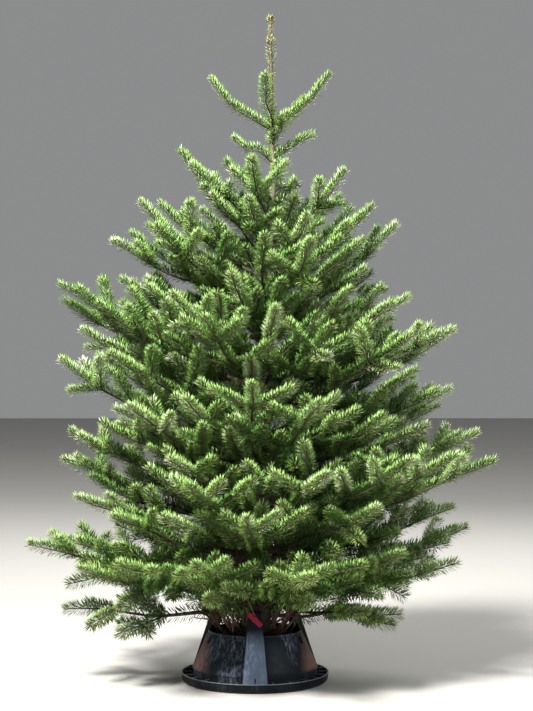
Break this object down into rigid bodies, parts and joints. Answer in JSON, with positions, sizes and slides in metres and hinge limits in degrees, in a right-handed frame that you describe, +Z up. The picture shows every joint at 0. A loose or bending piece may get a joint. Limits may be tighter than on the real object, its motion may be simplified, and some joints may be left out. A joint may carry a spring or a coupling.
{
  "type": "cut fir christmas tree in a water-holding stand",
  "caption": "Bare cut fir kept as a Christmas tree, dense and slightly leaning, standing in a black plastic cone-shaped water-holding stand with clamp screws.",
  "frame": {"origin": "centre of the flat underside of the stand, on the floor", "axes": "+Z up along the tree, +X to the right and -Y towards a viewer at the front"},
  "size_m": [1.3327, 1.161, 1.925],
  "materials": {
    "bark": "grey-green smooth young bark, darker and rougher at the butt",
    "bough_bark": "brown twig bark, matte",
    "foliage": "glossy mid to dark green flat needles with a pale silvery underside",
    "stand_plastic": "black moulded plastic, satin, scuffed",
    "screw_plastic": "deep red moulded plastic"
  },
  "bodies": {
    "root": {"bough_tier5_back": "bough_bark", "bough_tier5_front": "bough_bark", "bough_tier5_left": "bough_bark", "bough_tier5_right": "bough_bark", "bough_tier6_back": "bough_bark", "bough_tier6_front": "bough_bark", "bough_tier6_left": "bough_bark", "bough_tier6_right": "bough_bark", "bough_tier7_back": "bough_bark", "bough_tier7_front": "bough_bark", "bough_tier7_left": "bough_bark", "bough_tier7_right": "bough_bark", "bough_tier8_back": "bough_bark", "bough_tier8_front": "bough_bark", "bough_tier8_left": "bough_bark", "bough_tier8_right": "bough_bark", "bough_tier9_left": "bough_bark", "bough_tier9_right": "bough_bark", "clamp_screw_back_left": "screw_plastic", "clamp_screw_back_right": "screw_plastic", "clamp_screw_front": "screw_plastic", "foliage_tier1_back": "foliage", "foliage_tier1_front": "foliage", "foliage_tier1_left": "foliage", "foliage_tier1_right": "foliage", "foliage_tier2_left": "foliage", "foliage_tier2_right": "foliage", "foliage_tier3_back": "foliage", "foliage_tier3_front": "foliage", "foliage_tier3_left": "foliage", "foliage_tier3_right": "foliage", "foliage_tier4_back": "foliage", "foliage_tier4_front": "foliage", "foliage_tier4_left": "foliage", "foliage_tier4_right": "foliage", "foliage_tier5_back": "foliage", "foliage_tier5_front": "foliage", "foliage_tier5_left": "foliage", "foliage_tier5_right": "foliage", "foliage_tier6_back": "foliage", "foliage_tier6_front": "foliage", "foliage_tier6_left": "foliage", "foliage_tier6_right": "foliage", "foliage_tier7_back": "foliage", "foliage_tier7_front": "foliage", "foliage_tier7_left": "foliage", "foliage_tier7_right": "foliage", "foliage_tier8_back": "foliage", "foliage_tier8_front": "foliage", "foliage_tier8_left": "foliage", "foliage_tier8_right": "foliage", "foliage_tier9_left": "foliage", "foliage_tier9_right": "foliage", "stand_basin": "stand_plastic", "stand_leg_back_left": "stand_plastic", "stand_leg_back_right": "stand_plastic", "stand_leg_front": "stand_plastic", "stand_tray": "stand_plastic", "trunk": "bark"}
  },
  "joints": []
}
